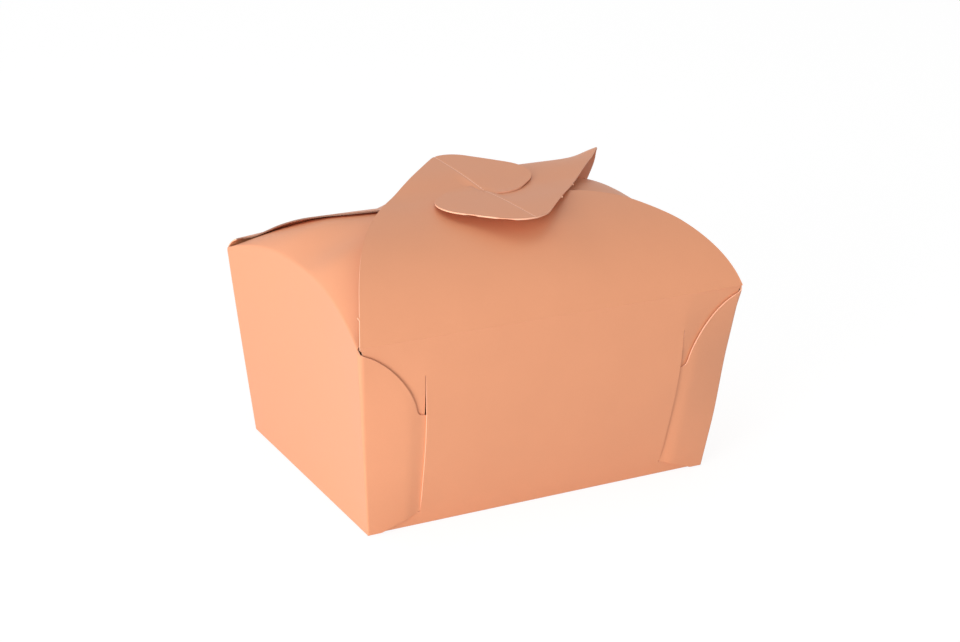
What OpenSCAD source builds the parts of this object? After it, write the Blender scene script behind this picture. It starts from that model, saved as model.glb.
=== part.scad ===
// Folded card takeaway box: a tray with tucked corners and a lid of two
// arched flaps whose hooked tips lock over each other. Millimetres.
// The origin is the middle of the base's underside, +X along the long walls,
// +Y towards the back wall and +Z up. The lid is drawn closed.

/* [Card] */
// Thickness of the card
board = 0.45; // [0.35:0.05:0.6]
// Free space kept between two layers of card
lay_gap = 0.3; // [0.2:0.05:0.5]

/* [Tray] */
// Length of the base
base_l = 118; // [104:1:140]
// Width of the base
base_w = 84; // [76:1:96]
// Height of the front and back walls
wall_h = 62; // [45:1:80]
// How far the front and back walls lean out over their height
lean_w = 7; // [4:0.5:9]
// How far the end walls lean out over their height
lean_l = 7; // [4:0.5:9]
// How far the middle of the front and back walls bulges out
wall_bulge = 3; // [1:0.25:4]

/* [End walls] */
// Rise of the arched crease above the rim corners
arch_rise = 9; // [5:0.5:12]
// How far the middle of the arched crease bows inwards
arch_bow = 5; // [2:0.5:7]
// Reach of a dust flap inwards from the crease
dust_reach = 36; // [24:1:40]
// Slope at which a dust flap leaves the crease, in degrees
dust_slope = 35; // [20:1:38]
// Slope of a dust flap at its free edge, in degrees
dust_end_slope = -6; // [-8:1:4]
// How far each side of a dust flap draws in, for each millimetre of reach
dust_taper = 0.75; // [0.6:0.05:0.9]
// How far a dust flap's sides are cut back from the rim corners
dust_relief = 4; // [2:0.5:6]

/* [Corner locks] */
// Width of a corner lock at the base, from the corner to its slit
lock_w = 17; // [12:1:22]
// How much wider a corner lock is at the top of its slit
lock_flare = 4; // [2:0.5:5]
// Height of the slit's lower end
slit_foot = 4.5; // [3:0.5:8]
// Height at which the lock's edge enters the slit
lock_h = 38; // [24:1:42]
// Free slit above the lock's edge
slit_spare = 13; // [5:1:14]
// Width of the slit
slit_w = 1.2; // [1.1:0.1:2]
// Length of the lock's tongue behind the wall
tongue_l = 9; // [5:1:12]

/* [Lid flaps] */
// Height of the closed lid above the rim, where the flaps cross
lid_rise = 25; // [20:0.5:30]
// Angle at which the front flap leaves the rim, in degrees
front_spring = 66; // [60:1:70]
// Length of the spline handle that rounds the front flap's shoulder
front_shoulder = 26; // [22:1:32]
// Further rise of the front flap from the crossing to its tip
front_tip_rise = 1.8; // [1.2:0.1:3]
// Angle at which the back flap leaves the rim, in degrees
back_spring = 62; // [58:1:68]
// Length of the spline handle that rounds the back flap's shoulder
back_shoulder = 36; // [28:1:38]
// Further rise of the back flap from the crossing to its tip
back_tip_rise = 1; // [0.8:0.1:2]
// How far the hook's side of the front flap lies below its section
front_side_drop = 1; // [0:0.5:3]
// How far the hook's side of the back flap is pressed down
back_side_drop = 9; // [5:0.5:9.5]
// How much further over the box the pressed-down side reaches
back_side_reach = 3; // [0:0.5:4]
// Space between the rim and the flaps' creased edges
crease_gap = 0.5; // [0.4:0.1:1]

/* [Interlock] */
// Reach of a flap's pointed tip beyond the middle of the box
tip_reach = 38; // [30:1:42]
// Rounding of the tip
tip_r = 8; // [5:0.5:10]
// Reach of a hook across the middle of the box
hook_w = 28; // [22:1:30]
// Rounding of the hook's end
hook_r = 12; // [8:0.5:13]
// How far the hook's return edge dips past the middle
hook_dip = 4.3; // [3:0.1:5]
// Clearance between a hook's return edge and its flap's cut edge
cut_gap = 2; // [1:0.5:3]
// How far the hook curls up at its return edge
hook_curl = 1.9; // [1.6:0.1:3]

/* [Hidden] */
card = [0.86, 0.58, 0.45];

rim_l = base_l + 2 * lean_l;
rim_w = base_w + 2 * lean_w;
half_w = rim_w / 2;
half_l = rim_l / 2;
lean_angle = atan(lean_w / wall_h);
slant = wall_h / cos(lean_angle);
crease_z = wall_h + crease_gap;
// Layers of card count outwards from the wall's outer face
lock_offset = board + lay_gap;
// Steps along the splines, the arched crease and the dust flap's reach
spline_steps = 16;
arch_steps = 20;
dust_steps = 5;
wall_steps = 3;
// Rows and columns of the bulging walls, and rows of a corner lock
bulge_rows = 8;
bulge_cols = 16;
lock_rows = 7;
// Columns of a flap from its middle to the side that is pressed down
side_steps = 9;
// Sharpness of the arched crease's crown: 2 would be a parabola
crown_power = 2.26;
// How soon the crown of a dust flap falls away towards its sides
drape_power = 1.44;

// A point of the cubic spline with control points p, at u from 0 to 1
function spline_point(p, u) =
    pow(1 - u, 3) * p[0] + 3 * pow(1 - u, 2) * u * p[1]
    + 3 * (1 - u) * u * u * p[2] + pow(u, 3) * p[3];
function spline(p, steps) = [for (i = [0:steps]) spline_point(p, i / steps)];

// A polygon with rounded corners, from [x, y, radius] for each corner
function unit(v) = v / norm(v);
function round_corner(a, b, c, r, steps) =
    let (
        to_a = unit(a - b),
        to_c = unit(c - b),
        half_angle = acos(to_a * to_c) / 2,
        centre = b + unit(to_a + to_c) * r / sin(half_angle),
        start = b + to_a * r / tan(half_angle) - centre,
        end = b + to_c * r / tan(half_angle) - centre,
        sweep = 180 - 2 * half_angle
    )
    [for (i = [0:steps])
        centre + (start * sin(sweep * (1 - i / steps)) + end * sin(sweep * i / steps)) / sin(sweep)];
function rounded(corners, steps) =
    let (n = len(corners))
    [for (i = [0:n - 1])
        let (
            a = [corners[(i + n - 1) % n][0], corners[(i + n - 1) % n][1]],
            b = [corners[i][0], corners[i][1]],
            c = [corners[(i + 1) % n][0], corners[(i + 1) % n][1]]
        )
        each (corners[i][2] > 0 ? round_corner(a, b, c, corners[i][2], steps) : [b])];

// A closed sheet over a grid of outer points, each with an inner point behind it
module sheet(outer, inner) {
    rows = len(outer);
    cols = len(outer[0]);
    count = rows * cols;
    points = concat([for (row = outer) each row], [for (row = inner) each row]);
    top = [for (i = [0:rows - 2], j = [0:cols - 2])
        let (a = i * cols + j, b = a + 1, c = a + cols + 1, d = a + cols)
        each [[c, b, a], [d, c, a]]];
    bottom = [for (f = top) [f[2] + count, f[1] + count, f[0] + count]];
    rim = concat(
        [for (j = [0:cols - 1]) j],
        [for (i = [1:rows - 1]) i * cols + cols - 1],
        [for (j = [cols - 2:-1:0]) (rows - 1) * cols + j],
        [for (i = [rows - 2:-1:1]) i * cols]);
    edge = [for (k = [0:len(rim) - 1])
        let (a = rim[k], b = rim[(k + 1) % len(rim)])
        each [[a + count, a, b], [b + count, a + count, b]]];
    polyhedron(points, concat(top, bottom, edge));
}

// Where the slit and the corner lie at a height of the front wall
function slit_x(z) = base_l / 2 - lock_w + (lean_l - lock_flare) * z / wall_h;
function corner_x(z) = base_l / 2 + lean_l * z / wall_h;

// How far a long wall stands out from the flat, at x and z
function bulge(x, z) =
    wall_bulge * (1 - pow(min(1, abs(x) / corner_x(z)), 3)) * sin(180 * z / wall_h);

// A point at x and z of the front wall, at a depth behind its outer face
function wall_point(x, z, depth) =
    [x, depth - base_w / 2 - lean_w * z / wall_h - bulge(x, z), z];

function wall_grid(depth) = [for (i = [0:bulge_rows])
    let (z = wall_h * i / bulge_rows)
    [for (j = [-bulge_cols / 2:bulge_cols / 2])
        wall_point(2 * j / bulge_cols * corner_x(z), z, depth)]];

// The front wall, a bulging sheet with a slit for each corner lock
module long_wall() {
    head = lock_h + slit_spare;
    difference() {
        sheet(wall_grid(0), wall_grid(board));
        for (side = [-1, 1])
            rotate([90, 0, 0])
                translate([0, 0, base_w / 2 - 2])
                    linear_extrude(lean_w + wall_bulge + 4)
                        polygon([
                            [side * (slit_x(slit_foot) - slit_w / 2), slit_foot],
                            [side * (slit_x(slit_foot) + slit_w / 2), slit_foot],
                            [side * (slit_x(head) + slit_w / 2), head],
                            [side * (slit_x(head) - slit_w / 2), head]]);
    }
}

// Columns of a corner lock from its tongue's end to the corner, each as
// [x from the slit, share of the way to the corner, depth, lowest z, highest z]
function lock_columns(slit_shift, layer) =
    let (
        foot = slit_foot + lay_gap,
        head = lock_h - lay_gap,
        top = [corner_x(wall_h - 1.5), wall_h - 1.5],
        end = [slit_x(head) + slit_w, head],
        reach = top[0] - end[0],
        drop = top[1] - end[1],
        edge = spline([end, end + [0.15 * reach, 0.5 * drop], top - [0.45 * reach, 0.1 * drop], top], 9)
    )
    concat(
        [
            [-tongue_l, 0, lock_offset + layer, foot + 0.35 * tongue_l, head - 0.35 * tongue_l],
            [slit_shift, 0, lock_offset + layer, foot, head],
            [slit_shift, 0, layer - lock_offset, foot, head]],
        [for (p = edge)
            let (share = (p[0] - slit_x(p[1])) / (corner_x(p[1]) - slit_x(p[1])))
            [0, share, layer - lock_offset, max(lay_gap, foot - (foot - lay_gap) * share / 0.75), p[1]]]);

function lock_grid(slit_shift, layer) = [for (i = [0:lock_rows])
    [for (c = lock_columns(slit_shift, layer))
        let (z = c[3] + (c[4] - c[3]) * i / lock_rows, x = slit_x(z) + c[0])
        wall_point(x + c[1] * (corner_x(z) - slit_x(z)), z, c[2])]];

// One corner lock: a panel outside the wall, a step through the slit and a
// tongue lying behind the wall, folded from one sheet
module corner_lock() {
    sheet(lock_grid(-board / 2, 0), lock_grid(board / 2, board));
}

// Height of the arched crease at y, and its reach along X
function arch_z(y) = wall_h + arch_rise * (1 - pow(min(1, abs(y) / half_w), crown_power));
function arch_x(y) =
    base_l / 2 + lean_l * arch_z(y) / wall_h - arch_bow * (1 - pow(min(1, abs(y) / half_w), 2));

// Half the width of an end wall, out to the corner locks' outer faces
function end_half(share) = base_w / 2 + lean_w * share + lock_offset;

// Rise of a dust flap above the crease at a reach of d: highest along the
// middle, and lying down towards the rim corners
function dust_drape(y) = max(0, 1 - 1.1 * pow(abs(y) / half_w, drape_power));
function dust_rise(d, y) = dust_drape(y) * (tan(dust_slope) * d
    - (tan(dust_slope) - tan(dust_end_slope)) * d * d / (2 * dust_reach));

// Slope at which a dust flap leaves the crease at y
function dust_lean(y) = atan(tan(dust_slope) * dust_drape(y));

function wall_row(share) = [for (j = [-arch_steps:arch_steps])
    let (v = j / arch_steps, crease_y = v * end_half(1), y = v * end_half(share))
    [base_l / 2 + share * (arch_x(crease_y) - base_l / 2), y, share * arch_z(crease_y)]];
function dust_row(d) = [for (j = [-arch_steps:arch_steps])
    let (y = j / arch_steps * (half_w - dust_relief - dust_taper * d))
    [arch_x(y) - d, y, arch_z(y) + dust_rise(d, y)]];

// The right end wall with its dust flap, one bowed sheet with an arched crease
module end_wall() {
    walls = [for (i = [0:wall_steps]) wall_row(i / wall_steps)];
    dusts = [for (i = [1:dust_steps]) dust_row(dust_reach * i / dust_steps)];
    into_wall = [-board, 0, 0];
    function into_crease(a) = [-board, 0, -board * tan(45 - a / 2)];
    function under_dust(a) = [-board * sin(a), 0, -board * cos(a)];
    sheet(
        concat(walls, dusts),
        concat(
            [for (i = [0:wall_steps - 1]) [for (p = walls[i]) p + into_wall]],
            [[for (p = walls[wall_steps]) p + into_crease(dust_lean(p[1]))]],
            [for (row = dusts) [for (p = row) p + under_dust(dust_lean(p[1]))]]));
}

module tray() {
    color(card) {
        translate([-base_l / 2, -base_w / 2, 0])
            cube([base_l, base_w, board]);
        for (turn = [0, 180])
            rotate([0, 0, turn]) {
                long_wall();
                end_wall();
                corner_lock();
                mirror([1, 0, 0]) corner_lock();
            }
    }
}

// The section of a lid flap, as points [distance from the rim, height above
// the crease] along its outer face
function flap_section(spring, shoulder, tip_rise) =
    let (
        middle = [half_w, lid_rise - crease_gap],
        crossing = [cos(7), sin(7)],
        last = half_w + tip_reach
    )
    concat(
        spline([[0, 0], shoulder * [cos(spring), sin(spring)], middle - 12 * crossing, middle],
            spline_steps),
        [for (i = [1:spline_steps]) spline_point(
            [middle, middle + 8 * crossing,
                [half_w + 0.55 * tip_reach, middle[1] + tip_rise], [last, middle[1] + tip_rise]],
            i / spline_steps)]);

// A hook follows its flap's section, and curls up towards its return edge
function hook_section(spring, shoulder, tip_rise) =
    let (curl_end = half_w + 8, curl_l = 8 + hook_dip)
    [for (p = flap_section(spring, shoulder, tip_rise))
        p + [0, hook_curl * pow(max(0, curl_end - p[0]) / curl_l, 2)]];

// Card with the given outer section, over the whole width of the box
module strip(section) {
    n = len(section);
    inner = [for (i = [0:n - 1])
        let (along = unit(section[min(n - 1, i + 1)] - section[max(0, i - 1)]))
        section[i] + board * [along[1], -along[0]]];
    translate([-half_l, -half_w, crease_z])
        rotate([90, 0, 90])
            linear_extrude(rim_l)
                polygon(concat(section, [for (i = [n - 1:-1:0]) inner[i]]));
}

// The scored line at a hook's root
score_x = -lay_gap / 2;

// The outline of a flap and its hook seen from above, with the crease at the
// rim along y = 0. The hook's side reaches further where it is pressed down
function flap_corners(side_reach) =
    let (
        root = half_l - lay_gap - 3 * board,
        cut = half_w - hook_dip - cut_gap
    )
    [
        [-root, 0, 0],
        [-0.8 * root, 0.62 * half_w, 140],
        [4, half_w + tip_reach, tip_r],
        [hook_w, half_w + tip_reach - (hook_w - 4) * 1.1, hook_r],
        [hook_w / 3, half_w - hook_dip, hook_r],
        [1.2, half_w - hook_dip, 2],
        [score_x, half_w + 1, 0],
        [score_x, cut, 0],
        [0.53 * root + side_reach, cut, 30],
        [0.8 * root + side_reach / 2, 0.4 * half_w + side_reach, 50],
        [root, 0, 0]
    ];

module flap_plan(side_reach) {
    translate([0, -half_w]) polygon(rounded(flap_corners(side_reach), 8));
}

// The part of the plan that is the hook: right of its scored root line
module hook_zone() {
    translate([score_x, -hook_dip - cut_gap / 2])
        square([hook_w, tip_reach + hook_dip + cut_gap]);
}

function smooth(a, b, t) =
    let (u = max(0, min(1, (t - a) / (b - a))))
    u * u * (3 - 2 * u);

// How far a flap's side lies below its section: nothing at the rim and left
// of the middle, most a third of the way over the box
function side_fall(drop, x, reach) =
    let (
        into_lid = 1 - exp(-pow(reach / (0.19 * half_w), 1.7)),
        to_hook = 1 - smooth(0.4 * half_w, 1.3 * half_w, reach),
        from_middle = smooth(0.06 * half_l, 0.4 * half_l, x),
        at_edge = 1 + 0.5 * pow(max(0, (x - 0.75 * half_l) / (0.25 * half_l)), 2)
    )
    drop * into_lid * to_hook * from_middle * at_edge;

// A flap's card over the whole width of the box, level along X up to the
// middle and falling towards the side on which it is pressed down
module flap_card(section, drop) {
    n = len(section);
    inner = [for (i = [0:n - 1])
        let (along = unit(section[min(n - 1, i + 1)] - section[max(0, i - 1)]))
        section[i] + board * [along[1], -along[0]]];
    columns = concat([-half_l], [for (j = [0:side_steps]) half_l * j / side_steps]);
    function card_grid(face) = [for (i = [0:n - 1]) [for (x = columns)
        [x, face[i][0] - half_w, crease_z + face[i][1] - side_fall(drop, x, section[i][0])]]];
    sheet(card_grid(section), card_grid(inner));
}

module flap(section, drop, side_reach) {
    intersection() {
        flap_card(section, drop);
        linear_extrude(crease_z + lid_rise + 10)
            difference() {
                flap_plan(side_reach);
                hook_zone();
            }
    }
}

module hook(section) {
    intersection() {
        strip(section);
        linear_extrude(crease_z + lid_rise + 10)
            intersection() {
                flap_plan(0);
                hook_zone();
            }
    }
}

module front_flap() {
    color(card)
        flap(flap_section(front_spring, front_shoulder, front_tip_rise), front_side_drop, 0);
}

module front_hook() {
    color(card) hook(hook_section(front_spring, front_shoulder, front_tip_rise));
}

module back_flap() {
    color(card)
        rotate([0, 0, 180])
            flap(flap_section(back_spring, back_shoulder, back_tip_rise),
                back_side_drop, back_side_reach);
}

module back_hook() {
    color(card) rotate([0, 0, 180]) hook(hook_section(back_spring, back_shoulder, back_tip_rise));
}

tray();
front_flap();
front_hook();
back_flap();
back_hook();
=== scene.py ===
import math

import bpy
import numpy as np
from mathutils import Matrix, Vector, geometry


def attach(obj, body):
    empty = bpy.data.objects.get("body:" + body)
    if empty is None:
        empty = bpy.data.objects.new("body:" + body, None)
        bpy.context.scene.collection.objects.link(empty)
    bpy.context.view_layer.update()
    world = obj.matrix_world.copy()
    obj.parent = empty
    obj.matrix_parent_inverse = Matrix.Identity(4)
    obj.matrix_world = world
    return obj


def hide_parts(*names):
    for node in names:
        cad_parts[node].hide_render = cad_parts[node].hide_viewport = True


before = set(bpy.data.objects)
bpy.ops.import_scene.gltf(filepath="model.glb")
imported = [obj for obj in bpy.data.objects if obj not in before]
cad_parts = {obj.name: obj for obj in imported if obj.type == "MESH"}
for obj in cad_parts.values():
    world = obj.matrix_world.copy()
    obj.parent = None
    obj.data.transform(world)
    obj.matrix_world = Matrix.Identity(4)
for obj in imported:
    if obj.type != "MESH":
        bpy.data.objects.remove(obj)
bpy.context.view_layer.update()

# The card. One sheet of solid folding board makes the whole box. It is dyed
# salmon, satin and slightly mottled. Its inner face is given a deeper, darker
# orange as painted shade, and its cut edges a paler one as a painted highlight,
# so that every free edge shows as a thin light line.
mm = 0.001
board = 0.45
cloud_scale, fibre_scale, fibre_share = 70, 1600, 0.35
grain_strength, grain_height = 0.12, 0.04 * mm
gloss_spread = 0.05


def card_material(name, colour, deep, roughness):
    """Dyed board: clouds and fibres mix two close colours and vary the gloss."""
    material = bpy.data.materials.new(name)
    material.use_nodes = True
    tree = material.node_tree
    shader = tree.nodes["Principled BSDF"]
    shader.inputs["Roughness"].default_value = roughness
    shader.inputs["IOR"].default_value = 1.45
    where = tree.nodes.new("ShaderNodeTexCoord")

    clouds = tree.nodes.new("ShaderNodeTexNoise")
    clouds.inputs["Scale"].default_value = cloud_scale
    clouds.inputs["Detail"].default_value = 3
    fibres = tree.nodes.new("ShaderNodeTexNoise")
    fibres.inputs["Scale"].default_value = fibre_scale
    fibres.inputs["Detail"].default_value = 4
    fibres.inputs["Roughness"].default_value = 0.65
    mottle = tree.nodes.new("ShaderNodeMix")
    mottle.data_type = "FLOAT"
    mottle.inputs["Factor"].default_value = fibre_share
    tint = tree.nodes.new("ShaderNodeMix")
    tint.data_type = "RGBA"
    tint.inputs["A"].default_value = (*deep, 1)
    tint.inputs["B"].default_value = (*colour, 1)
    grain = tree.nodes.new("ShaderNodeBump")
    grain.inputs["Strength"].default_value = grain_strength
    grain.inputs["Distance"].default_value = grain_height
    gloss = tree.nodes.new("ShaderNodeMapRange")
    gloss.inputs["To Min"].default_value = roughness - gloss_spread
    gloss.inputs["To Max"].default_value = roughness + gloss_spread

    link = tree.links.new
    link(where.outputs["Object"], clouds.inputs["Vector"])
    link(where.outputs["Object"], fibres.inputs["Vector"])
    link(clouds.outputs["Fac"], mottle.inputs["A"])
    link(fibres.outputs["Fac"], mottle.inputs["B"])
    link(mottle.outputs["Result"], tint.inputs["Factor"])
    link(tint.outputs["Result"], shader.inputs["Base Color"])
    link(clouds.outputs["Fac"], gloss.inputs["Value"])
    link(gloss.outputs["Result"], shader.inputs["Roughness"])
    link(fibres.outputs["Fac"], grain.inputs["Height"])
    link(grain.outputs["Normal"], shader.inputs["Normal"])
    return material


card = card_material("salmon_card", (0.82, 0.350, 0.186), (0.76, 0.318, 0.166), 0.46)
# The inner faces get a deeper, darker orange: painted shade for the shade and bounced light under
# the lid and inside the walls.
inside_shade_card = card_material("salmon_card_inside_shade", (0.74, 0.28, 0.135), (0.69, 0.255, 0.12), 0.55)
# The cut edges get a paler colour: a painted highlight, so that each free edge shows as a thin
# light line.
cut_edge_highlight = card_material("cut_card_edge_highlight", (0.98, 0.56, 0.38), (0.92, 0.50, 0.33), 0.7)

# Base and long walls. The front wall, the base and the back wall are one strip
# folded twice, with a die-cut slit near each corner of the walls. The walls
# lean out, and the locks that go through the slits make them bulge like pillows.
base_half_l, base_half_w, wall_h, lean = 59.0, 42.0, 62.0, 7.0
slant = math.hypot(wall_h, lean)
hinge_y, hinge_z = 48.8, 62.5
slit_foot, slit_head, lock_top = 4.7, 51.0, 39.0
slit_foot_x, slit_lean = 42.1, 0.046
slit_gap, lock_gap = 0.12, 0.5
pillow, pillow_foot_power, pillow_head_power = 3.0, 3, 5.5
tuck_depth, tuck_lost_at_rim = 1.5, 0.5
slit_lip_out, slit_lip_in, slit_lip_reach = 0.45, 0.5, 9
base_fold, base_fold_step = 0.5, 0.25
corner_gap, corner_gap_growth, corner_gap_low, corner_gap_rim = 1.1, 0.4, 0.8, 0.85
rim_crease_gap = 0.03


def smooth(a, b, t):
    """0 below a, 1 above b, and an even step between."""
    u = np.clip((t - a) / (b - a), 0, 1)
    return u * u * (3 - 2 * u)


def bezier(a, b, c, d, steps):
    """Points of a cubic curve, both ends included."""
    u = np.linspace(0, 1, steps + 1)[:, None]
    a, b, c, d = (np.array(p, float) for p in (a, b, c, d))
    return (1 - u) ** 3 * a + 3 * (1 - u) ** 2 * u * b + 3 * (1 - u) * u**2 * c + u**3 * d


def corner_x(z):
    return base_half_l + lean * z / wall_h


def slit_x(z):
    return slit_foot_x + slit_lean * z


def corner_tuck(x, z):
    """The locks pull the two corners at the right in by a millimetre or so."""
    near = np.clip((x - slit_x(z)) / (corner_x(z) - slit_x(z)), 0, 1)
    at_rim = 1 - tuck_lost_at_rim * smooth(54, wall_h, z)
    return tuck_depth * near * smooth(15, 42, z) * at_rim


def bulge(x, z):
    """How far the long walls stand out from the flat at x and height z: a pillow
    between the slits, and flat from each slit to the corner."""
    power = pillow_foot_power + (pillow_head_power - pillow_foot_power) * smooth(10, 45, z)
    between = 1 - np.clip(np.abs(x) / corner_x(z), 0, 1) ** power
    at_slit = 1 - (slit_x(z) / corner_x(z)) ** power
    beyond = at_slit * np.clip((corner_x(z) - np.abs(x)) / (corner_x(z) - slit_x(z)), 0, 1)
    along = np.where(np.abs(x) < slit_x(z), between, beyond)
    return pillow * along * np.sin(np.pi * np.clip(z / wall_h, 0, 1)) - corner_tuck(x, z)


def slit_step(z):
    """0 at both ends of a slit, 1 where the lock's card goes through it."""
    foot = smooth(slit_foot - 0.5, slit_foot + 6, z)
    return foot * (1 - smooth(lock_top - 4, slit_head + 0.5, z))


def loop_edges(ring, spacing):
    """A closed outline with points added so that none are further apart than spacing."""
    out = []
    for a, b in zip(ring, np.roll(ring, -1, axis=0)):
        parts = max(1, math.ceil(np.hypot(*(b - a)) / spacing))
        out += [a + (b - a) * i / parts for i in range(parts)]
    return np.array(out)


def inside(points, ring):
    """Which points lie within a closed outline."""
    x, y = points[:, :1], points[:, 1:]
    ax, ay = ring[:, 0], ring[:, 1]
    bx, by = np.roll(ax, -1), np.roll(ay, -1)
    with np.errstate(divide="ignore", invalid="ignore"):
        crosses = ((ay > y) != (by > y)) & (x < (bx - ax) * (y - ay) / (by - ay) + ax)
    return crosses.sum(1) % 2 == 1


def inside_blank(points, rings):
    """Which points lie within the outline rings[0] and outside the holes after it."""
    keep = inside(points, rings[0])
    for ring in rings[1:]:
        keep &= ~inside(points, ring)
    return keep


def cut_card(outline, holes=(), spacing=1.6, folds=(), fold_step=0.3, fold_reach=1.5):
    """Cuts a flat blank into small triangles: (points, triangles). Each fold is
    (axis, place): points are close together across that line."""
    rings = [loop_edges(np.array(r, float), spacing) for r in (outline, *holes)]
    low, high = rings[0].min(0), rings[0].max(0)
    axes = []
    for axis in (0, 1):
        steps = max(2, math.ceil((high[axis] - low[axis]) / spacing))
        ticks = list(np.linspace(low[axis], high[axis], steps + 1)[1:-1])
        for fold_axis, place in folds:
            if fold_axis == axis:
                ticks = [t for t in ticks if abs(t - place) > fold_reach + fold_step]
                ticks += list(np.arange(-fold_reach, fold_reach + 1e-6, fold_step) + place)
        axes.append(np.array(sorted(ticks)))
    grid = np.array(np.meshgrid(*axes)).reshape(2, -1).T
    grid = grid[inside_blank(grid, rings)]
    border = np.concatenate(rings)
    near = np.full(len(grid), np.inf)
    for part in np.array_split(border, 40):
        near = np.minimum(near, np.hypot(*(grid[:, None] - part[None]).transpose(2, 0, 1)).min(1))
    points = np.concatenate([border, grid[near > fold_step * 0.6]])
    edges, start = [], 0
    for ring in rings:
        n = len(ring)
        edges += [(start + i, start + (i + 1) % n) for i in range(n)]
        start += n
    cut = geometry.delaunay_2d_cdt([Vector(p) for p in points], edges, [], 0, 1e-5)
    flat = np.array([tuple(v) for v in cut[0]])
    triangles = np.array([f for f in cut[2] if len(f) == 3])
    triangles = triangles[inside_blank(flat[triangles].mean(1), rings)]
    a, b, c = (flat[triangles[:, i]] for i in range(3))
    ab, ac = b - a, c - a
    turned = ab[:, 0] * ac[:, 1] - ab[:, 1] * ac[:, 0] < 0
    triangles[turned] = triangles[turned][:, ::-1]
    return flat, triangles


def mesh_piece(name, mesh, *materials):
    """A mesh with its materials, shaded smooth up to its folds, in the scene."""
    for material in materials:
        mesh.materials.append(material)
    mesh.polygons.foreach_set("use_smooth", [True] * len(mesh.polygons))
    mesh.set_sharp_from_angle(angle=math.radians(50))
    piece = bpy.data.objects.new(name, mesh)
    bpy.context.scene.collection.objects.link(piece)
    return piece


def fold_card(name, flat, triangles, place, turn=1):
    """Folds a cut blank with place(u, v) -> points of its outer face, and gives
    it the card's thickness inwards. turn is -1 where u and v run left-handed."""
    d = 0.02
    u, v = flat[:, 0], flat[:, 1]
    outer = place(u, v)
    out = np.cross(place(u + d, v) - place(u - d, v), place(u, v + d) - place(u, v - d))
    out *= turn / np.linalg.norm(out, axis=1)[:, None]
    inner = outer - board * out
    n = len(flat)
    if turn < 0:
        triangles = triangles[:, ::-1]
    sides = {}
    for a, b, c in triangles:
        for e in ((a, b), (b, c), (c, a)):
            sides[e] = True
    rim = [(b, a, a + n, b + n) for a, b in sides if (b, a) not in sides]
    faces = [tuple(t) for t in triangles] + [(c + n, b + n, a + n) for a, b, c in triangles] + rim
    mesh = bpy.data.meshes.new(name)
    mesh.from_pydata((np.concatenate([outer, inner]) * mm).tolist(), [], faces)
    count = len(triangles)
    # Outer faces take the card, inner faces the darker painted-shade colour, and the cut sides
    # the paler painted-highlight colour.
    mesh.polygons.foreach_set("material_index", [0] * count + [1] * count + [2] * len(rim))
    return mesh_piece(name, mesh, card, inside_shade_card, cut_edge_highlight)


def softened(place, du, dv, taps=5):
    """Rounds every fold of place by averaging it over du and dv to each side."""
    def soft(u, v):
        total = 0
        for i in np.linspace(-1, 1, taps):
            for j in np.linspace(-1, 1, taps):
                total = total + place(u + i * du(u, v), v + j * dv(u, v))
        return total / taps**2
    return soft


def strip_place(u, v):
    """u runs along the box, v over the base and up both walls."""
    up = np.maximum(np.abs(v) - base_half_w, 0)
    z = up * wall_h / slant
    x = u
    beyond = np.abs(x) - slit_x(z)
    near = np.exp(-np.abs(beyond) / slit_lip_reach)
    step = np.where(beyond < 0, slit_lip_out, -slit_lip_in) * near * slit_step(z)
    out = bulge(x, z) + step
    y = np.sign(v) * (np.minimum(np.abs(v), base_half_w) + up * lean / slant + out * (up > 0))
    return np.stack([x, y, z], 1)


def slit_outline(x_side, v_side):
    """A slit, narrow above the lock and wide enough for its card below."""
    ring = []
    for z in np.linspace(slit_foot, slit_head, 24):
        ring.append((slit_x(z) - slit_gap, z))
    for z in np.linspace(slit_head, slit_foot, 24):
        ring.append((slit_x(z) + (slit_gap if z > lock_top - 0.8 else lock_gap), z))
    return [(x_side * x, v_side * (base_half_w + z * slant / wall_h)) for x, z in ring]


rim_x = corner_x(wall_h)
top_v = base_half_w + hinge_z * slant / wall_h - rim_crease_gap
right_edge = [(base_half_l - corner_gap_low, base_half_w - 1)]
right_edge += [(corner_x(z) - corner_gap - corner_gap_growth * z / wall_h,
                base_half_w + z * slant / wall_h) for z in (1, 20, 40, 60)]
right_edge += [(rim_x - corner_gap - corner_gap_growth, top_v - 1.2),
               (rim_x - corner_gap_rim, top_v - 0.6), (rim_x - corner_gap_rim, top_v)]
strip_outline = right_edge + [(-x, v) for x, v in reversed(right_edge)]
strip_outline += [(-x, -v) for x, v in strip_outline]
slits = [slit_outline(x, v) for x in (-1, 1) for v in (-1, 1)]
flat, triangles = cut_card(
    strip_outline, slits, 1.8, folds=[(1, -base_half_w), (1, base_half_w)],
    fold_step=base_fold_step)
strip = fold_card(
    "base_and_long_walls", flat, triangles,
    softened(strip_place, lambda u, v: 0 * u, lambda u, v: 0 * v + base_fold), turn=-1)

# Ends of the tray. Each end is one more fold of the same sheet: an end wall
# with an arched crease, a dust flap going on under the lid, and at each side
# a lock that goes round the corner and tucks into the wall's slit.
arch_rise, arch_bow, arch_power = 9.0, 5.0, 2.26
rim_half_w = base_half_w + lean
lock_lay, lock_bow, lock_ramp, tongue_slope = 0.74, 0.15, 0.3, 0.05
corner_u = rim_half_w + lock_lay
lock_u = 20.0
tongue_u = corner_u + lock_u
dust_reach = 36.0
dust_start, dust_end = math.tan(math.radians(35)), math.tan(math.radians(-6))
dust_relief, dust_taper = 0.9, 0.75
swell_back, swell_front, swell_peak = 1.8, 2.3, 9
stand, stand_reach, stand_climb, stand_lean, stand_middle = 8.2, 6, 0.16, 0.1, 5
corner_round, corner_round_growth, crease_round = 0.45, 1.1, 0.4


def arch_z(y):
    return wall_h + arch_rise * (1 - np.minimum(1, np.abs(y) / rim_half_w) ** arch_power)


def arch_x(y):
    bow = arch_bow * (1 - np.minimum(1, np.abs(y) / rim_half_w) ** 2)
    return base_half_l + lean * arch_z(y) / wall_h - bow


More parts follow.
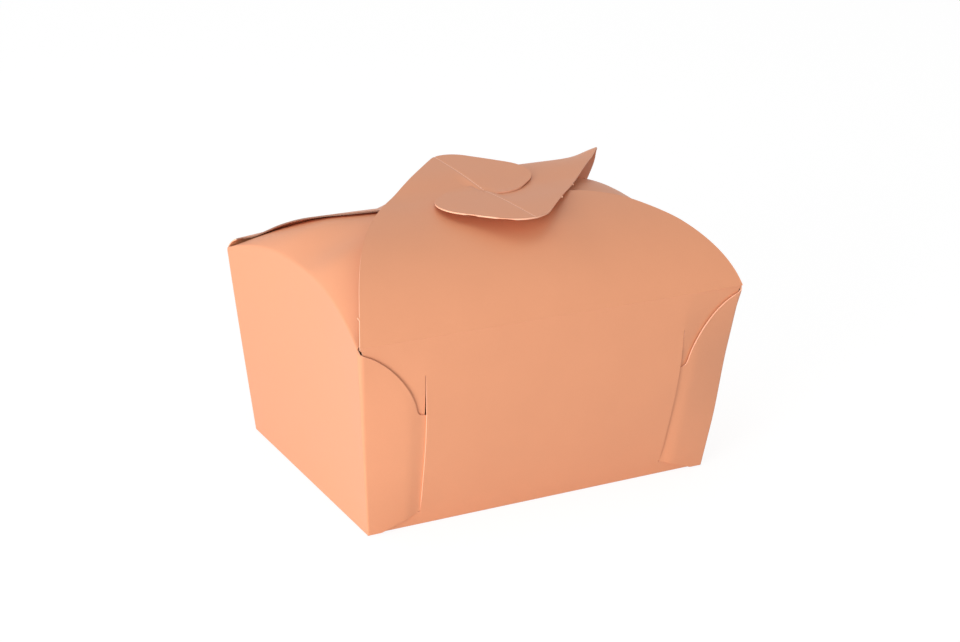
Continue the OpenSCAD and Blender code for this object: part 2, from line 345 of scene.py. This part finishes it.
def low_dust_flap(d, y):
    """The left one is pressed down by the lid: highest along the middle, and
    swelling up next to its crease. Its y is turned: below 0 is the back."""
    across = np.abs(y) / rim_half_w
    drape = np.where(y < 0, 1 - 1.04 * across**1.55, 1 - 1.1 * across**1.44).clip(0, 1)
    swell = np.where(y < 0, swell_back, swell_front) * d / swell_peak
    swell = swell * np.exp(1 - d / swell_peak) * (1 - smooth(16, 32, d))
    swell = swell * smooth(0, 16, np.abs(y)) * (1 - across.clip(0, 1) ** 6)
    rise = dust_start * d - (dust_start - dust_end) * d * d / (2 * dust_reach)
    return drape * rise + swell


def high_dust_flap(d, y):
    """The right one stands up from its crease and holds the lid's open corner."""
    drape = 1 - np.clip(np.abs(y) / rim_half_w, 0, 1) ** 2.5
    stood = 1 - np.exp(-d / stand_reach)
    return drape * (stand * stood + stand_climb * d + stand_lean * (y - stand_middle) * stood)


def lock_place(u, v, side):
    """The lock in front of the wall, through its slit and behind it."""
    z = np.clip(v, 0, wall_h)
    width = corner_x(z) - slit_x(z)
    x = corner_x(z) - (np.abs(u) - corner_u) * width / lock_u
    from_slit = x - slit_x(z)
    share = np.clip(from_slit / width, 0, 1)
    lift = lock_bow * (1 - smooth(38, 51, z)) * np.sin(np.pi * share ** 1.15)
    lay = lock_lay * smooth(0, lock_ramp * width, from_slit) + lift
    lay = lay + tongue_slope * np.minimum(from_slit, 0)
    y = base_half_w + lean * z / wall_h + bulge(side * x, z) + lay
    return np.stack([x, np.sign(u) * y, z], 1)


def end_place(u, v, dust_rise, side):
    """u runs round the end from one tongue to the other, v up the end wall and
    over the arched crease into the dust flap. side is 1 right, -1 left."""
    share = np.clip(v / wall_h, 0, 1)
    crease_y = np.clip(u, -corner_u, corner_u)
    tuck = corner_tuck(side * corner_x(share * wall_h), share * wall_h)
    y = crease_y / corner_u * (base_half_w + lean * share + lock_lay - tuck)
    x = base_half_l + share * (arch_x(crease_y) - base_half_l) + np.minimum(v, 0)
    z = share * arch_z(crease_y)
    d = np.maximum(v - wall_h, 0)
    wall = np.stack([x - d, y, z + dust_rise(d, y)], 1)
    return np.where((np.abs(u) > corner_u)[:, None], lock_place(u, v, side), wall)


def on_lock(x, z):
    """The blank's point that folds to x and height z on the wall."""
    return (corner_u + (corner_x(z) - x) * lock_u / (corner_x(z) - slit_x(z)), z)


lock_side = [(corner_u - 0.5, -0.8), (corner_u, 0.25), on_lock(54.6, 0.35),
             on_lock(slit_x(4.9) + 0.3, 4.9)]
lock_side += [(tongue_u + past_slit, v) for past_slit, v in (
    (1.5, 5.4), (8, 9), (9, 12), (9, 30), (7.5, 34), (1, 38.2))]
for toe in bezier((44.4, 38.6), (45.3, 38.7), (46.3, 38.7), (46.9, 40.5), 6):
    lock_side.append(on_lock(*toe))
for sweep in bezier((46.9, 40.5), (48.5, 48), (57, 58), (65.6, 60.6), 16)[1:]:
    lock_side.append(on_lock(*sweep))
dust_half = rim_half_w - dust_relief
lock_side += [(corner_u - 1.2, 61.4), (dust_half, wall_h + 0.4)]
dust_side = [(dust_half - dust_taper * d, wall_h + d) for d in (8, 16, 24, 30)]
dust_side += [tuple(p) for p in bezier(
    (dust_half - 22.5, wall_h + 30), (dust_half - 25, wall_h + 34),
    (dust_half - 27, wall_h + dust_reach), (dust_half - 31, wall_h + dust_reach), 6)[1:]]
half_outline = lock_side + dust_side
end_outline = half_outline + [(-u, v) for u, v in reversed(half_outline)]
flat, triangles = cut_card(
    end_outline, (), 1.6,
    folds=[(0, -corner_u), (0, corner_u), (0, tongue_u), (0, -tongue_u), (1, 0), (1, wall_h)])
ends = []
for name, side, dust_rise in (("right_end", 1, high_dust_flap), ("left_end", -1, low_dust_flap)):
    soft_end = softened(
        lambda u, v: end_place(u, v, dust_rise, side) * (side, side, 1),
        lambda u, v: corner_round + corner_round_growth * np.clip(v / wall_h, 0, 1) ** 2,
        lambda u, v: 0 * v + crease_round)
    ends.append(fold_card(name, flat, triangles, soft_end))

# Creases of the lid. A rounded bead of card runs along the top of each long
# wall, about the line on which the lid flap turns. The strip, the ends and
# the beads are the same sheet, and become one piece.
bead_radius, bead_sides, bead_stations, bead_end_gap = 0.232, 16, 40, 1.7
beads = []
for side in (-1, 1):
    turns = np.linspace(0, 2 * math.pi, bead_sides + 1)[:-1]
    ring = [(bead_radius * math.cos(a), bead_radius * math.sin(a)) for a in turns]
    reach = rim_x - bead_end_gap
    verts = [(x * mm, (side * hinge_y + p) * mm, (hinge_z + q) * mm)
             for x in np.linspace(-reach, reach, bead_stations) for p, q in ring]
    faces = []
    for i in range(bead_stations - 1):
        here, ahead = i * bead_sides, (i + 1) * bead_sides
        for j in range(bead_sides):
            k = (j + 1) % bead_sides
            faces.append((here + k, ahead + k, ahead + j, here + j))
    last = (bead_stations - 1) * bead_sides
    faces += [tuple(reversed(range(bead_sides))), tuple(last + j for j in range(bead_sides))]
    mesh = bpy.data.meshes.new("crease_bead")
    mesh.from_pydata(verts, [], faces)
    beads.append(mesh_piece("crease_bead", mesh, card))


def join_pieces(name, pieces):
    """One mesh of several, keeping their materials."""
    bpy.ops.object.select_all(action="DESELECT")
    for piece in pieces:
        piece.select_set(True)
    bpy.context.view_layer.objects.active = pieces[0]
    bpy.ops.object.join()
    pieces[0].name = pieces[0].data.name = name
    return pieces[0]


tray_card = join_pieces("tray_card", [strip, *ends, *beads])
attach(tray_card, "tray")
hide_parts("tray")

# Lid flaps. Both flaps are the same blank: a wide root at the rim crease, a
# pointed tip past the middle of the box, and on one side a rounded hook that
# bends at a scored line. Each is rolled over from its wall in one soft curve.
tip_reach, hook_dip, cut_gap = 38.0, 4.3, 2.0
flap_root = 65.2
cut = rim_half_w - hook_dip - cut_gap
crown_z, crown_slope = 87.0, math.radians(7)
crown_run_in, crown_run_out, tip_run_in = 12, 8, 0.45
score_half, score_dent, hook_curl, tip_tuck = 0.2, 0.12, 0.7, 0.65
# Cut sides of points pressed down further than this get a dark painted-shade colour.
shade_edge_fall = 2


def rounded(corners, steps=10):
    """An outline from (x, y, radius) corners."""
    out = []
    n = len(corners)
    for i, (x, y, r) in enumerate(corners):
        here = np.array((x, y), float)
        if r == 0:
            out.append(here)
            continue
        before = np.array(corners[i - 1][:2], float) - here
        after = np.array(corners[(i + 1) % n][:2], float) - here
        before, after = before / np.hypot(*before), after / np.hypot(*after)
        half = math.acos(np.clip(before @ after, -1, 1)) / 2
        middle = (before + after) / np.hypot(*(before + after))
        centre = here + middle * r / math.sin(half)
        a = here + before * r / math.tan(half) - centre
        b = here + after * r / math.tan(half) - centre
        sweep = math.pi - 2 * half
        for k in range(steps + 1):
            t = k / steps
            arm = a * math.sin(sweep * (1 - t)) + b * math.sin(sweep * t)
            out.append(centre + arm / math.sin(sweep))
    return np.array(out)


def with_nicks(ring, nicks):
    """Adds the small tags of card that the die leaves on a cut edge."""
    ring = loop_edges(ring, 1.0)
    for nick in nicks:
        i = int(np.argmin(np.hypot(*(ring - nick).T)))
        along = ring[i + 1] - ring[i - 1]
        along /= np.hypot(*along)
        outwards = np.array((-along[1], along[0]))
        tag = [ring[i] - 0.3 * along, ring[i] + 0.6 * outwards, ring[i] + 0.3 * along]
        ring = np.concatenate([ring[:i], tag, ring[i + 1:]])
    return ring


def flap_plan(side_reach, open_side):
    """The outline seen from above, with the rim crease along y = 0. The hook's
    side reaches further where it is pressed down."""
    hook_back = rim_half_w - hook_dip
    hook = [(27.3, rim_half_w + tip_reach - 26.4, 12), (28 / 3, hook_back, 12),
            (1.2, hook_back, 2), (-0.05, rim_half_w + 1, 0), (-0.2, cut, 0)]
    hook_side = [
        (0.53 * flap_root + side_reach, cut, 30),
        (0.8 * flap_root + side_reach / 2, 0.4 * rim_half_w + side_reach, 50)]
    return rounded([(-flap_root, 0, 0), *open_side, *hook, *hook_side, (flap_root, 0, 0)])


def side_fall(drop, x, away, start):
    """How far the hook's side of a flap is pressed down, at x and away from the rim."""
    into_lid = 1 - np.exp(-(away / (0.165 * rim_half_w)) ** 1.7)
    to_hook = 1 - smooth(0.4 * rim_half_w, 1.3 * rim_half_w, away)
    at_edge = 1 + 0.5 * np.clip((x - 49.5) / 16.5, 0, None) ** 2
    return drop * into_lid * to_hook * smooth(start, 26.4, x) * at_edge


def section_curve(spring, shoulder, tip_rise):
    """Where a flap's outer face runs, as (distance from the rim, height)."""
    foot = np.array((0.0, hinge_z))
    middle = np.array((rim_half_w, crown_z))
    along = np.array((math.cos(crown_slope), math.sin(crown_slope)))
    rise = shoulder * np.array((math.cos(math.radians(spring)), math.sin(math.radians(spring))))
    end = np.array((rim_half_w + tip_reach, crown_z + tip_rise))
    before_end = np.array((rim_half_w + (1 - tip_run_in) * tip_reach, crown_z + tip_rise))
    first = bezier(foot, foot + rise, middle - crown_run_in * along, middle, 300)
    second = bezier(middle, middle + crown_run_out * along, before_end, end, 300)
    return np.concatenate([first, second[1:]])


def roll_tree():
    """The rule that rolls a flat flap over its section and gives it thickness."""
    tree = bpy.data.node_groups.new("roll_lid_flap", "GeometryNodeTree")
    sizes = ("Spring angle", "Shoulder", "Middle distance", "Middle height", "Foot height",
             "Tip reach", "Tip rise", "Card thickness")
    finishes = ("Card", "Score highlight", "Inside", "Cut edge highlight", "Painted shade edge")
    sockets = [("Geometry", "INPUT", "NodeSocketGeometry")]
    sockets += [(size, "INPUT", "NodeSocketFloat") for size in sizes]
    sockets += [(finish, "INPUT", "NodeSocketMaterial") for finish in finishes]
    sockets += [("Geometry", "OUTPUT", "NodeSocketGeometry")]
    for name, in_out, kind in sockets:
        tree.interface.new_socket(name, in_out=in_out, socket_type=kind)
    new, link = tree.nodes.new, tree.links.new
    given, result = new("NodeGroupInput"), new("NodeGroupOutput")

    def fill(socket, value):
        if isinstance(value, (int, float)):
            socket.default_value = value
        else:
            link(value, socket)

    def math_node(operation, a, b=None):
        node = new("ShaderNodeMath")
        node.operation = operation
        fill(node.inputs[0], a)
        if b is not None:
            fill(node.inputs[1], b)
        return node.outputs[0]

    def point(y, z):
        node = new("ShaderNodeCombineXYZ")
        fill(node.inputs["Y"], y)
        fill(node.inputs["Z"], z)
        return node.outputs[0]

    def vector_node(operation, a, b):
        node = new("ShaderNodeVectorMath")
        node.operation = operation
        link(a, node.inputs[0])
        link(b, node.inputs[1])
        return node.outputs[0]

    def named(name, kind):
        node = new("GeometryNodeInputNamedAttribute")
        node.data_type = kind
        node.inputs["Name"].default_value = name
        return node.outputs["Attribute"]

    def piece_of_curve(start, start_handle, end_handle, end):
        node = new("GeometryNodeCurvePrimitiveBezierSegment")
        node.mode = "OFFSET"
        node.inputs["Resolution"].default_value = 200
        for name, value in zip(("Start", "Start Handle", "End Handle", "End"),
                               (start, start_handle, end_handle, end)):
            link(value, node.inputs[name])
        return node.outputs["Curve"]

    def finished(shape, finish, where=None):
        node = new("GeometryNodeSetMaterial")
        link(shape, node.inputs["Geometry"])
        if where is not None:
            link(where, node.inputs["Selection"])
        link(given.outputs[finish], node.inputs["Material"])
        return node.outputs[0]

    size = {name: given.outputs[name] for name in sizes}
    along = (math.cos(crown_slope), math.sin(crown_slope))
    foot = point(0, size["Foot height"])
    rise = point(
        math_node("MULTIPLY", size["Shoulder"], math_node("COSINE", size["Spring angle"])),
        math_node("MULTIPLY", size["Shoulder"], math_node("SINE", size["Spring angle"])))
    middle = point(size["Middle distance"], size["Middle height"])
    tip_height = math_node("ADD", size["Middle height"], size["Tip rise"])
    tip = point(math_node("ADD", size["Middle distance"], size["Tip reach"]), tip_height)
    run_in = point(-crown_run_in * mm * along[0], -crown_run_in * mm * along[1])
    run_out = point(crown_run_out * mm * along[0], crown_run_out * mm * along[1])
    level = point(math_node("MULTIPLY", size["Tip reach"], -tip_run_in), 0)
    section = new("GeometryNodeJoinGeometry")
    link(piece_of_curve(middle, run_out, level, tip), section.inputs[0])
    link(piece_of_curve(foot, rise, run_in, middle), section.inputs[0])

    where, split = new("GeometryNodeInputPosition"), new("ShaderNodeSeparateXYZ")
    link(where.outputs[0], split.inputs[0])
    sample = new("GeometryNodeSampleCurve")
    sample.mode = "LENGTH"
    sample.use_all_curves = True
    link(section.outputs[0], sample.inputs["Curves"])
    link(split.outputs["Y"], sample.inputs["Length"])
    across = new("ShaderNodeCombineXYZ")
    link(split.outputs["X"], across.inputs["X"])
    rolled = vector_node("ADD", sample.outputs["Position"], across.outputs[0])
    upward = new("ShaderNodeVectorMath")
    upward.operation = "CROSS_PRODUCT"
    upward.inputs[0].default_value = (1, 0, 0)
    link(sample.outputs["Tangent"], upward.inputs[1])
    lifted = new("ShaderNodeVectorMath")
    lifted.operation = "SCALE"
    link(upward.outputs[0], lifted.inputs[0])
    link(named("lift", "FLOAT"), lifted.inputs["Scale"])
    raised = vector_node("ADD", rolled, lifted.outputs[0])
    placed = vector_node("SUBTRACT", raised, point(0, named("fall", "FLOAT")))
    roll = new("GeometryNodeSetPosition")
    link(given.outputs["Geometry"], roll.inputs["Geometry"])
    link(placed, roll.inputs["Position"])

    thick = new("GeometryNodeExtrudeMesh")
    thick.inputs["Individual"].default_value = False
    link(roll.outputs[0], thick.inputs["Mesh"])
    link(math_node("MULTIPLY", size["Card thickness"], -1), thick.inputs["Offset Scale"])
    lining = new("GeometryNodeFlipFaces")
    link(thick.outputs["Mesh"], lining.inputs["Mesh"])
    both = new("GeometryNodeJoinGeometry")
    link(lining.outputs[0], both.inputs[0])
    link(roll.outputs[0], both.inputs[0])
    closed = new("GeometryNodeMergeByDistance")
    closed.inputs["Distance"].default_value = 0.002 * mm
    link(both.outputs[0], closed.inputs["Geometry"])
    smooth_faces = new("GeometryNodeSetShadeSmooth")
    link(closed.outputs[0], smooth_faces.inputs["Geometry"])
    real = new("GeometryNodeRealizeInstances")
    link(smooth_faces.outputs[0], real.inputs[0])

    # Cut sides where the flap is pressed down get the dark painted-shade colour.
    pressed = new("FunctionNodeBooleanMath")
    link(thick.outputs["Side"], pressed.inputs[0])
    link(named("pressed", "BOOLEAN"), pressed.inputs[1])
    shape = finished(real.outputs[0], "Card")
    # Faces on the score line get a paler colour: a painted highlight for the lit wall of the
    # score's groove.
    shape = finished(shape, "Score highlight", named("scored", "BOOLEAN"))
    # The inner face gets the darker painted-shade colour.
    shape = finished(shape, "Inside", thick.outputs["Top"])
    # The cut sides get the paler painted-highlight colour.
    shape = finished(shape, "Cut edge highlight", thick.outputs["Side"])
    shape = finished(shape, "Painted shade edge", pressed.outputs[0])
    link(shape, result.inputs["Geometry"])
    return tree


roll = roll_tree()
# Paler card for the score lines: a painted highlight standing in for the lit wall of the groove.
score_highlight_card = card_material("score_highlight_card", (0.98, 0.56, 0.39), (0.94, 0.52, 0.35), 0.55)
# A dark colour painted on the pressed-down cut edges: painted shade for the shade under the lid
# flap's pressed-down side.
painted_shade_edge = card_material("painted_shade_card_edge", (0.30, 0.14, 0.09), (0.24, 0.11, 0.07), 0.6)


def lid_flap(name, body, nodes, spring, shoulder, tip_rise, open_side, nicks, corner_lift,
             drop, side_reach, drop_start, sag, side):
    """One flap: its blank, how far each point lies off the roll, and the roll.
    side is -1 for the front one, 1 for the back one, turned half round."""
    section = section_curve(spring, shoulder, tip_rise)
    length = np.concatenate([[0], np.cumsum(np.hypot(*np.diff(section, axis=0).T))])
    blank = with_nicks(flap_plan(side_reach, open_side), nicks)
    blank[:, 1] = np.interp(blank[:, 1], section[:, 0], length)
    flat, triangles = cut_card(blank, (), 1.4, folds=[(0, 0)], fold_reach=1.2)
    x, away = flat[:, 0], np.interp(flat[:, 1], length, section[:, 0])

    hook = (x > -0.04) & (away > cut + 1)
    to_edge = np.clip(rim_half_w + 8 - away, 0, None) / (8 + hook_dip)
    lift = np.where(hook, hook_curl * to_edge**2 * smooth(-0.05, 3, x), 0)
    past_hook = (away - rim_half_w - hook_dip) / 8
    lift -= tip_tuck * np.exp(-past_hook**2) * smooth(-42, -26, x) * smooth(0, 3, -x)
    lift -= score_dent * np.exp(-(x / 0.3) ** 2) * (away > cut + 1)
    from_corner = np.where(away < 20, (away - 20) / 4.5, (away - 20) / 9)
    lift += corner_lift * np.exp(-((x + 61) / 9) ** 2 - from_corner**2)
    fall = np.where(hook, 0, side_fall(drop, x, away, drop_start))
    fall += sag * np.exp(-((x - 4) / 13) ** 2 - ((away - 24) / 10) ** 2)
    middles = flat[triangles].mean(1)
    score_foot = np.interp(cut + 2, section[:, 0], length)
    scored = (np.abs(middles[:, 0]) < score_half) & (middles[:, 1] > score_foot)

    mesh = bpy.data.meshes.new(name)
    mesh.from_pydata([(x * mm, y * mm, 0) for x, y in flat], [], triangles.tolist())
    # The pressed points mark where the cut sides get the dark painted-shade colour.
    for attribute, kind, domain, values in (
            ("lift", "FLOAT", "POINT", lift * mm), ("fall", "FLOAT", "POINT", fall * mm),
            ("scored", "BOOLEAN", "FACE", scored),
            ("pressed", "BOOLEAN", "POINT", fall > shade_edge_fall)):
        mesh.attributes.new(attribute, kind, domain).data.foreach_set("value", values)
    flap = bpy.data.objects.new(name, mesh)
    bpy.context.scene.collection.objects.link(flap)
    rolling = flap.modifiers.new("roll", "NODES")
    rolling.node_group = roll
    given = {
        "Spring angle": math.radians(spring), "Shoulder": shoulder * mm,
        "Middle distance": rim_half_w * mm, "Middle height": crown_z * mm,
        "Foot height": hinge_z * mm, "Tip reach": tip_reach * mm, "Tip rise": tip_rise * mm,
        "Card thickness": board * mm, "Card": card, "Score highlight": score_highlight_card,
        "Inside": inside_shade_card, "Cut edge highlight": cut_edge_highlight, "Painted shade edge": painted_shade_edge}
    for socket in roll.interface.items_tree:
        if socket.item_type == "SOCKET" and socket.in_out == "INPUT" and socket.name in given:
            rolling[socket.identifier] = given[socket.name]
    bpy.context.view_layer.update()
    depsgraph = bpy.context.evaluated_depsgraph_get()
    solid = bpy.data.meshes.new_from_object(flap.evaluated_get(depsgraph))
    flap.modifiers.remove(rolling)
    flap.data = solid
    solid.name = name
    solid.transform(Matrix.Translation((0, -rim_half_w * mm, 0)))
    if side > 0:
        solid.transform(Matrix.Rotation(math.pi, 4, "Z"))
    solid.set_sharp_from_angle(angle=math.radians(50))
    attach(flap, body)
    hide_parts(*nodes)


lid_flap(
    "front_lid_card", "front_lid", ("front_flap", "front_hook"),
    spring=66, shoulder=26, tip_rise=1.78,
    open_side=[(-0.8 * flap_root, 0.62 * rim_half_w, 140), (4, rim_half_w + tip_reach, 8)],
    nicks=[(-64.1, 4.1)], corner_lift=0, drop=1, side_reach=0, drop_start=4, sag=0, side=-1)
lid_flap(
    "back_lid_card", "back_lid", ("back_flap", "back_hook"),
    spring=62, shoulder=36, tip_rise=1.0,
    open_side=[(-64.6, 7, 30), (-60, 19.5, 5), (1.6, rim_half_w + tip_reach, 12)],
    nicks=[(-28.1, 52.6), (-16.8, 65.6)], corner_lift=2.8, drop=9, side_reach=3,
    drop_start=0, sag=1.3, side=1)

# Stand, light and camera. The box stands on a plain white floor, in a soft
# pale room with one wide lamp low at the left and a weak one above, and is
# seen from the left front.
floor_half, floor_z = 4, -0.0001
floor_share, floor_glow = 0.8, 1.1
room_strength = 0.54
focal_px, picture_px, sensor_mm, distance = 2009.4, 960, 36, 0.6365


def seen_directly(tree):
    """1 for camera, glossy and transmission rays, and 0 for the light they bring."""
    ray = tree.nodes.new("ShaderNodeLightPath")
    seen = ray.outputs["Is Camera Ray"]
    for kind in ("Is Glossy Ray", "Is Transmission Ray"):
        either = tree.nodes.new("ShaderNodeMath")
        either.operation = "MAXIMUM"
        tree.links.new(seen, either.inputs[0])
        tree.links.new(ray.outputs[kind], either.inputs[1])
        seen = either.outputs[0]
    return seen


floor_mesh = bpy.data.meshes.new("floor")
floor_mesh.from_pydata(
    [(x * floor_half, y * floor_half, floor_z) for x, y in ((-1, -1), (1, -1), (1, 1), (-1, 1))],
    [], [(0, 1, 2, 3)])
floor = bpy.data.objects.new("floor", floor_mesh)
bpy.context.scene.collection.objects.link(floor)
paper = bpy.data.materials.new("white_floor")
paper.use_nodes = True
tree = paper.node_tree
lit = tree.nodes["Principled BSDF"]
lit.inputs["Base Color"].default_value = (0.9, 0.9, 0.9, 1)
lit.inputs["Roughness"].default_value = 0.9
lit.inputs["Specular IOR Level"].default_value = 0
share = tree.nodes.new("ShaderNodeMath")
share.operation = "MULTIPLY"
share.inputs[1].default_value = floor_share
glow = tree.nodes.new("ShaderNodeEmission")
glow.inputs["Strength"].default_value = floor_glow
mix = tree.nodes.new("ShaderNodeMixShader")
tree.links.new(seen_directly(tree), share.inputs[0])
tree.links.new(share.outputs[0], mix.inputs["Fac"])
tree.links.new(lit.outputs[0], mix.inputs[1])
tree.links.new(glow.outputs[0], mix.inputs[2])
tree.links.new(mix.outputs[0], tree.nodes["Material Output"].inputs["Surface"])
floor_mesh.materials.append(paper)

world = bpy.data.worlds.new("room")
bpy.context.scene.world = world
world.use_nodes = True
tree = world.node_tree
room = tree.nodes["Background"]
room.inputs["Color"].default_value = (1, 1, 1, 1)
room.inputs["Strength"].default_value = room_strength
white = tree.nodes.new("ShaderNodeBackground")
white.inputs["Strength"].default_value = 1.0
choose = tree.nodes.new("ShaderNodeMixShader")
tree.links.new(seen_directly(tree), choose.inputs["Fac"])
tree.links.new(room.outputs[0], choose.inputs[1])
tree.links.new(white.outputs[0], choose.inputs[2])
tree.links.new(choose.outputs[0], tree.nodes["World Output"].inputs["Surface"])


def lamp(name, place, aim, size, power):
    light = bpy.data.lights.new(name, "AREA")
    light.shape = "DISK"
    light.size = size
    light.energy = power
    holder = bpy.data.objects.new(name, light)
    bpy.context.scene.collection.objects.link(holder)
    holder.location = place
    holder.rotation_euler = (Vector(aim) - Vector(place)).to_track_quat("-Z", "Y").to_euler()


lamp("left_lamp", (-0.80, -0.48, 0.16), aim=(0, 0, 0.04), size=0.5, power=7.6)
lamp("top_lamp", (-0.25, 0.05, 1.20), aim=(0, 0, 0.05), size=0.9, power=2.1)

target = Vector((0.136, 0.0015, 43.73)) * mm
azimuth, elevation, roll_angle = (math.radians(a) for a in (-29.16, 20.79, 1.834))
back = Vector((math.sin(azimuth) * math.cos(elevation), -math.cos(azimuth) * math.cos(elevation),
               math.sin(elevation)))
level = Vector((math.cos(azimuth), math.sin(azimuth), 0))
upright = back.cross(level)
right = level * math.cos(roll_angle) + upright * math.sin(roll_angle)
up = back.cross(right)
view = bpy.data.cameras.new("camera")
view.sensor_width = sensor_mm
view.lens = focal_px / picture_px * sensor_mm
camera = bpy.data.objects.new("camera", view)
bpy.context.scene.collection.objects.link(camera)
camera.matrix_world = Matrix.Translation(target + back * distance) @ Matrix(
    (right, up, back)).transposed().to_4x4()
bpy.context.scene.camera = camera
bpy.context.scene.view_settings.view_transform = "Standard"

bpy.context.view_layer.update()
